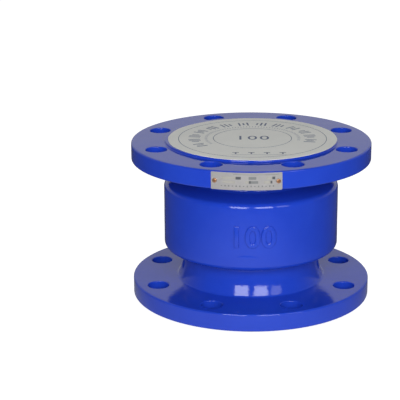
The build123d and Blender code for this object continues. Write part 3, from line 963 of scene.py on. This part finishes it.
@dataclass
class CastMarks:
    """Raised plain numbers and a paint sag on the barrel."""

    barrel_r: float = 78.35
    number: str = "100"
    number_angle: float = -89.4
    number_z: float = 77.5
    number_h: float = 19.0
    number_depth: float = 1.7
    number_round: float = 0.7
    sag_angle: float = -92.4
    sag_z: float = 59.5
    sag_w: float = 25.0
    sag_h: float = 6.0
    sag_depth: float = 0.45

    def numbers(self) -> None:
        """Makes the cast numbers, bent round the barrel."""
        mesh = number_mesh(self.number, self.number_h, self.number_depth, self.number_round, 1.05)
        sliced(mesh, 2.0)
        wrapped(list(mesh.verts), self.barrel_r, self.number_angle, self.number_z)
        tidy(mesh)
        place(piece(mesh, "cast_numbers", 50.0), PAINT, Body.HOUSING, Slot.PAINT)

    def blister(self, name: str, radius: float, angle: float, height: float, size: Vector) -> None:
        """Makes a smooth swelling of paint that blends into the surface.

        Args:
            name: The piece's name.
            radius: Radius of the surface, in millimetres.
            angle: Direction of its middle, in degrees.
            height: Height of its middle, in millimetres.
            size: Width, height and depth, in millimetres.
        """
        mesh = bmesh.new()
        bmesh.ops.create_uvsphere(mesh, u_segments=40, v_segments=24, radius=0.5)
        bmesh.ops.scale(mesh, vec=(size.x * MM, size.y * MM, size.z * 2 * MM), verts=mesh.verts)
        wrapped(list(mesh.verts), radius, angle, height)
        place(piece(mesh, name, 60.0), PAINT, Body.HOUSING, Slot.PAINT)

    def build(self) -> None:
        """Builds the numbers and the paint marks."""
        self.numbers()
        self.blister("paint_sag", self.barrel_r - 0.1, self.sag_angle, self.sag_z,
                     Vector((self.sag_w, self.sag_h, self.sag_depth)))


@dataclass
class OutletCover:
    """The printed protective disc on the outlet face."""

    trim: float = 0.25
    wander: float = 0.45
    ink_h: float = 0.03
    line_w: float = 0.55
    outer_ring_r: float = 66.0
    inner_ring_r: float = 34.9
    mark_r: float = 52.0
    mark_count: int = 13
    mark_first: float = 208.0
    mark_last: float = -11.0
    bar_w: float = 1.5
    bar_l: float = 10.5
    bar_gap: float = 3.9
    tick_r: float = 41.5
    tick_count: int = 60
    tick_l: float = 2.6
    tick_w: float = 0.5
    number_h: float = 13.5
    line_y: float = -52.5

    def __post_init__(self) -> None:
        """Takes the disc's place and size from the frame."""
        low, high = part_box("cover_disc")
        self.radius = (high.x - low.x) / 2 / MM
        self.middle = Vector(((low.x + high.x) / 2 / MM, (low.y + high.y) / 2 / MM, 0))
        self.bottom = low.z / MM
        self.top = high.z / MM - self.ink_h

    def edge_radius(self, turn: float) -> float:
        """Returns the radius of the hand-cut edge at an angle in radians."""
        slow = noise.noise(Vector((2.2 * math.cos(turn), 2.2 * math.sin(turn), 0.7)))
        facets = abs(math.sin(7 * turn + 0.6))
        return self.radius - self.trim - self.wander * (0.5 + 0.5 * slow) - 0.25 * facets

    def disc(self) -> None:
        """Makes the disc with its uneven edge."""
        mesh = bmesh.new()
        made = bmesh.ops.create_circle(mesh, cap_ends=True, segments=192, radius=1.0)
        for vert in made["verts"]:
            turn = math.atan2(vert.co.y, vert.co.x)
            reach = self.edge_radius(turn) * MM
            vert.co = (reach * math.cos(turn), reach * math.sin(turn), self.bottom * MM)
        faces = list(mesh.faces)
        raised = bmesh.ops.extrude_face_region(mesh, geom=faces)
        moved = [item for item in raised["geom"] if isinstance(item, bmesh.types.BMVert)]
        bmesh.ops.translate(mesh, vec=(0, 0, (self.top - self.bottom) * MM), verts=moved)
        bmesh.ops.translate(mesh, vec=self.middle * MM, verts=mesh.verts)
        tidy(mesh)
        disc = place(piece(mesh, "printed_disc"), FILM, Body.COVER, Slot.FILM)
        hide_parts("cover_disc")

    def inked(self, mesh: bmesh.types.BMesh, name: str) -> None:
        """Moves a print from the origin onto the disc and dresses it."""
        bmesh.ops.translate(mesh, vec=(self.middle + Vector((0, 0, self.top))) * MM, verts=mesh.verts)
        tidy(mesh)
        place(piece(mesh, name), INK, Body.COVER, Slot.FILM)

    def ring(self, name: str, radius: float) -> None:
        """Prints a thin circle."""
        half = self.line_w / 2
        outline = [(radius - half, 0), (radius + half, 0), (radius + half, self.ink_h), (radius - half, self.ink_h)]
        self.inked(spun(outline, closed=True, steps=160), name)

    def marks(self) -> None:
        """Prints the band of plain bar marks between the two circles."""
        mesh = bmesh.new()
        for index in range(self.mark_count):
            share = index / (self.mark_count - 1)
            angle = self.mark_first + (self.mark_last - self.mark_first) * share
            self.mark(mesh, angle, index)
        self.inked(mesh, "bar_marks")

    def mark(self, mesh: bmesh.types.BMesh, angle: float, index: int) -> None:
        """Adds one mark of three upright bars.

        Args:
            mesh: The print.
            angle: Direction of the mark, in degrees.
            index: Place of the mark in the row, which varies its bars.
        """
        known = set(mesh.verts)
        for slot_index in (-1, 0, 1):
            short = 0.62 if (index + slot_index) % 3 == 0 else 1.0
            middle = Vector((slot_index * self.bar_gap, self.mark_r, 0))
            slab(mesh, self.bar_w, self.bar_l * short, self.ink_h, middle, 0.3)
        added = [vert for vert in mesh.verts if vert not in known]
        turn = Matrix.Rotation(math.radians(angle - 90), 3, "Z")
        bmesh.ops.rotate(mesh, cent=(0, 0, 0), matrix=turn, verts=added)

    def ticks(self) -> None:
        """Prints the fine scale inside the marks."""
        mesh = bmesh.new()
        for index in range(self.tick_count):
            share = index / (self.tick_count - 1)
            angle = self.mark_first + (self.mark_last - self.mark_first) * share
            known = set(mesh.verts)
            slab(mesh, self.tick_w, self.tick_l, self.ink_h, Vector((0, self.tick_r, 0)), 0.0)
            added = [vert for vert in mesh.verts if vert not in known]
            turn = Matrix.Rotation(math.radians(angle - 90), 3, "Z")
            bmesh.ops.rotate(mesh, cent=(0, 0, 0), matrix=turn, verts=added)
        self.inked(mesh, "fine_ticks")

    def number(self) -> None:
        """Prints the plain number in the middle."""
        mesh = number_mesh("100", self.number_h, self.ink_h, 0.0, 1.15)
        lowest = min(vert.co.z for vert in mesh.verts)
        bmesh.ops.translate(mesh, vec=(0, 0, -lowest), verts=mesh.verts)
        highest = max(vert.co.z for vert in mesh.verts)
        bmesh.ops.scale(mesh, vec=(1, 1, self.ink_h * MM / highest), verts=mesh.verts)
        self.inked(mesh, "printed_number")

    def line(self) -> None:
        """Prints the short row of bars and its underline at the front."""
        mesh = bmesh.new()
        for index in range(4):
            middle = Vector((-15 + index * 13.5, self.line_y, 0))
            slab(mesh, 5.6, 1.4, self.ink_h, middle + Vector((0, 1.6, 0)), 0.3)
            slab(mesh, 1.4, 5.2, self.ink_h, middle, 0.3)
        slab(mesh, 47.0, 0.5, self.ink_h, Vector((5.0, self.line_y - 5.4, 0)), 0.0)
        self.inked(mesh, "front_line")

    def build(self) -> None:
        """Builds the disc and its print."""
        self.disc()
        self.ring("outer_circle", self.outer_ring_r)
        self.ring("inner_circle", self.inner_ring_r)
        self.marks()
        self.ticks()
        self.number()
        self.line()


@dataclass
class NamePlate:
    """Blank printed fields and marks on the bent plate on the rim."""

    angle: float = -92.6
    ink_h: float = 0.05
    field_h: float = 2.3
    upper_row: float = 2.9
    lower_row: float = -0.6
    mark_row: float = -4.0
    mark_count: int = 15
    mark_pitch: float = 3.1
    mark_start: float = -20.9

    def __post_init__(self) -> None:
        """Takes the plate's place from the frame."""
        low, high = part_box("nameplate")
        self.radius = -low.y / MM
        self.middle = (low.z + high.z) / 2 / MM

    def fields(self) -> list[tuple[float, float, float, Shade]]:
        """Returns each blank field's start, end, row and grey."""
        upper, lower = self.upper_row, self.lower_row
        return [
            (-20.8, -9.0, upper, Shade.LIGHT),
            (-9.0, -4.6, upper, Shade.DARK),
            (1.8, 8.2, upper, Shade.MIDDLE),
            (16.5, 21.5, upper, Shade.LIGHT),
            (21.5, 23.9, upper, Shade.DARK),
            (-19.8, -9.4, lower, Shade.LIGHT),
            (-0.9, 2.0, lower, Shade.LIGHT),
            (2.0, 3.6, lower, Shade.DARK),
            (3.6, 9.8, lower, Shade.MIDDLE),
            (14.7, 20.0, lower, Shade.LIGHT),
            (20.0, 21.6, lower, Shade.DARK),
        ]

    def printed(self, mesh: bmesh.types.BMesh, name: str, shade: Shade) -> None:
        """Bends a flat print round the plate and dresses it."""
        sliced(mesh, 2.5)
        wrapped(list(mesh.verts), self.radius, self.angle, self.middle)
        tidy(mesh)
        ink = FilmFinish(f"plate_ink_{shade.name.lower()}", shade.value, 0.45, stain_colour=shade.value)
        place(piece(mesh, name), ink, Body.HOUSING, Slot.PLATE)

    def build(self) -> None:
        """Builds the fields, the row of marks and the top line."""
        for shade in Shade:
            mesh = bmesh.new()
            for start, end, row, grey in self.fields():
                if grey is shade:
                    middle = Vector(((start + end) / 2, row, 0))
                    slab(mesh, end - start, self.field_h, self.ink_h, middle, 0.0)
            self.printed(mesh, f"plate_fields_{shade.name.lower()}", shade)
        mesh = bmesh.new()
        for index in range(self.mark_count):
            tall = 1.3 if index % 3 else 0.8
            middle = Vector((self.mark_start + index * self.mark_pitch, self.mark_row, 0))
            slab(mesh, 1.1, tall, self.ink_h, middle, 0.0)
        slab(mesh, 38.0, 0.35, self.ink_h, Vector((8.0, 5.9, 0)), 0.0)
        self.printed(mesh, "plate_marks", Shade.MIDDLE)


@dataclass
class ClosingSpring:
    """The compression spring, with closed and ground ends."""

    wire_r: float = 1.25
    mean_r: float = 18.0
    turns: float = 6.0
    steps_per_turn: int = 48
    keep: float = 0.431

    def build(self) -> None:
        """Spins the wire up its helix and grinds its ends flat."""
        low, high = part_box("closing_spring")
        mesh = bmesh.new()
        made = bmesh.ops.create_circle(mesh, cap_ends=True, segments=16, radius=self.wire_r * MM)
        bmesh.ops.rotate(mesh, cent=(0, 0, 0), matrix=Matrix.Rotation(math.pi / 2, 3, "X"), verts=made["verts"])
        start = Vector((self.mean_r * MM, 0, low.z))
        bmesh.ops.translate(mesh, vec=start, verts=made["verts"])
        steps = int(self.turns * self.steps_per_turn)
        rise = (high.z - low.z) / steps
        bmesh.ops.spin(
            mesh, geom=list(mesh.verts) + list(mesh.edges) + list(mesh.faces), cent=(0, 0, 0), axis=(0, 0, 1),
            dvec=(0, 0, rise), angle=FULL_TURN * self.turns, steps=steps, use_merge=False, use_duplicate=False,
        )
        for height, way in ((low.z, -1), (high.z, 1)):
            geometry = list(mesh.verts) + list(mesh.edges) + list(mesh.faces)
            cut = bmesh.ops.bisect_plane(
                mesh, geom=geometry, dist=1e-7, plane_co=(0, 0, height), plane_no=(0, 0, way), clear_outer=True
            )
            rim = [item for item in cut["geom_cut"] if isinstance(item, bmesh.types.BMEdge)]
            bmesh.ops.holes_fill(mesh, edges=rim, sides=0)
        tidy(mesh)
        spring = place(piece(mesh, "coil_spring", 40.0), WIRE, Body.HOUSING, Slot.SPRING)
        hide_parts("closing_spring")
        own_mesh(spring)


class Internals:
    """Finishes of the nodes whose shape is already right."""

    FINISHES: dict[str, Finish] = {
        "seat_ring": BRONZE,
        "seat_o_ring": RUBBER,
        "seat_screws": STAINLESS,
        "lower_guide_bush": BUSH,
        "upper_guide_bush": BUSH,
        "stem": STAINLESS,
        "stem_o_ring": RUBBER,
        "poppet": BRONZE,
        "seal_ring": RUBBER,
        "seal_retainer": STAINLESS,
        "retainer_screws": STAINLESS,
        "stem_nut": STAINLESS,
        "nut_tab_washer": STAINLESS,
        "spring_washer": STAINLESS,
        "nameplate": PLATE,
        "nameplate_rivets": COPPER,
    }

    def build(self) -> None:
        """Dresses each node."""
        for name, finish in self.FINISHES.items():
            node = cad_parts[name]
            node.data.materials.clear()
            node.data.materials.append(finish.material())
            LOG.info("%s: %s", name, finish.name)


@dataclass
class Camera:
    """The photograph's viewpoint, fitted to the flanges, the barrel and the bolt holes."""

    distance: float = 1291.2
    elevation: float = 14.404
    aim_yaw: float = -2.112
    aim_pitch: float = 16.803
    roll: float = -0.41
    turn: float = -0.65
    target_z: float = 145.0
    focal_px: float = 1438.107
    frame_px: float = 400.0
    sensor: float = 36.0

    def build(self) -> None:
        """Places the camera and makes it the scene's."""
        rise = math.radians(self.elevation)
        place_at = Vector((0, -math.cos(rise) * self.distance, self.target_z + math.sin(rise) * self.distance)) * MM
        yaw = math.radians(self.aim_yaw)
        pitch = math.radians(self.aim_pitch)
        tilt = math.radians(self.roll)
        forward = Vector((math.sin(yaw) * math.cos(pitch), math.cos(yaw) * math.cos(pitch), -math.sin(pitch)))
        right = Vector((math.cos(yaw), -math.sin(yaw), 0))
        up = right.cross(forward)
        side = math.cos(tilt) * right + math.sin(tilt) * up
        top = -math.sin(tilt) * right + math.cos(tilt) * up
        turned = Matrix((side, top, -forward)).transposed().to_4x4()
        spin = Matrix.Rotation(math.radians(self.turn), 4, "Z")
        data = bpy.data.cameras.new("view")
        data.sensor_width = self.sensor
        data.lens = self.focal_px / self.frame_px * self.sensor
        data.clip_start = 0.01
        camera = bpy.data.objects.new("view", data)
        camera.matrix_world = spin @ Matrix.Translation(place_at) @ turned
        bpy.context.scene.collection.objects.link(camera)
        bpy.context.scene.camera = camera


@dataclass(frozen=True)
class Panel:
    """A rectangular lamp that faces a point on the valve."""

    name: str
    azimuth: float
    elevation: float
    distance: float
    width: float
    height: float
    power: float
    aim_z: float = 0.08

    def build(self) -> None:
        """Places the lamp."""
        lamp = bpy.data.lights.new(self.name, "AREA")
        lamp.shape = "RECTANGLE"
        lamp.size = self.width
        lamp.size_y = self.height
        lamp.energy = self.power
        thing = bpy.data.objects.new(self.name, lamp)
        turn = math.radians(self.azimuth)
        rise = math.radians(self.elevation)
        aim = Vector((0, 0, self.aim_z))
        thing.location = aim + self.distance * Vector(
            (math.sin(turn) * math.cos(rise), -math.cos(turn) * math.cos(rise), math.sin(rise))
        )
        thing.rotation_euler = (thing.location - aim).to_track_quat("Z", "Y").to_euler()
        bpy.context.scene.collection.objects.link(thing)


@dataclass
class Studio:
    """Floor, world and lamps."""

    floor_half: float = 6.0
    world_level: float = 0.2
    mirror_front: float = 0.05
    mirror_behind: float = 0.65
    mirror_turn: float = -0.3
    mirror_curve: float = 1.3
    panels: tuple[Panel, ...] = (
        Panel("window_left", -15.5, 22, 1.7, 0.64, 0.8, 12.0),
        Panel("window_right", 16.0, 22, 1.7, 0.62, 0.8, 11.0),
        Panel("window_side", 41.0, 22, 1.7, 0.46, 0.8, 2.5),
    )

    def floor(self) -> None:
        """Makes the pale floor under the valve."""
        mesh = bmesh.new()
        bmesh.ops.create_grid(mesh, x_segments=8, y_segments=8, size=self.floor_half)
        bmesh.ops.translate(mesh, vec=(0, 0, -0.0002), verts=mesh.verts)
        ground = piece(mesh, "floor")
        ground.data.materials.append(FLOOR.material())

    def world(self) -> None:
        """Makes a pale world that is white to the camera, and to mirrors bright behind and dark in front."""
        world = bpy.data.worlds.new("studio")
        world.use_nodes = True
        bpy.context.scene.world = world
        kit = NodeKit(world.node_tree)
        back = world.node_tree.nodes["Background"]
        back.inputs["Color"].default_value = (1, 1, 1, 1)
        ray = kit.add("ShaderNodeLightPath")
        mirrored = kit.math("MAXIMUM", ray.outputs["Is Glossy Ray"], ray.outputs["Is Transmission Ray"])
        parts = kit.add("ShaderNodeSeparateXYZ")
        kit.join(kit.add("ShaderNodeTexCoord").outputs["Generated"], parts.inputs[0])
        behind = kit.add("ShaderNodeMapRange", {"From Min": self.mirror_turn, "From Max": 1.0})
        kit.join(parts.outputs["Y"], behind.inputs["Value"])
        bent = kit.math("POWER", behind.outputs["Result"], self.mirror_curve)
        reflection_glow = kit.span(bent, self.mirror_front, self.mirror_behind)
        chosen = kit.add("ShaderNodeMix", {"A": self.world_level})
        kit.join(mirrored, chosen.inputs["Factor"])
        kit.join(reflection_glow, chosen.inputs["B"])
        level = kit.math("MAXIMUM", ray.outputs["Is Camera Ray"], chosen.outputs["Result"])
        kit.join(level, back.inputs["Strength"])

    def build(self) -> None:
        """Builds the studio."""
        self.floor()
        self.world()
        for panel in self.panels:
            panel.build()
        bpy.context.scene.view_settings.view_transform = "Standard"


def main() -> None:
    """Builds the studio and every piece."""
    logging.basicConfig(level=logging.INFO, format="%(message)s")
    Camera().build()
    Studio().build()
    CastBody().build()
    CastMarks().build()
    OutletCover().build()
    NamePlate().build()
    ClosingSpring().build()
    Internals().build()


if __name__ == "__main__":
    main()
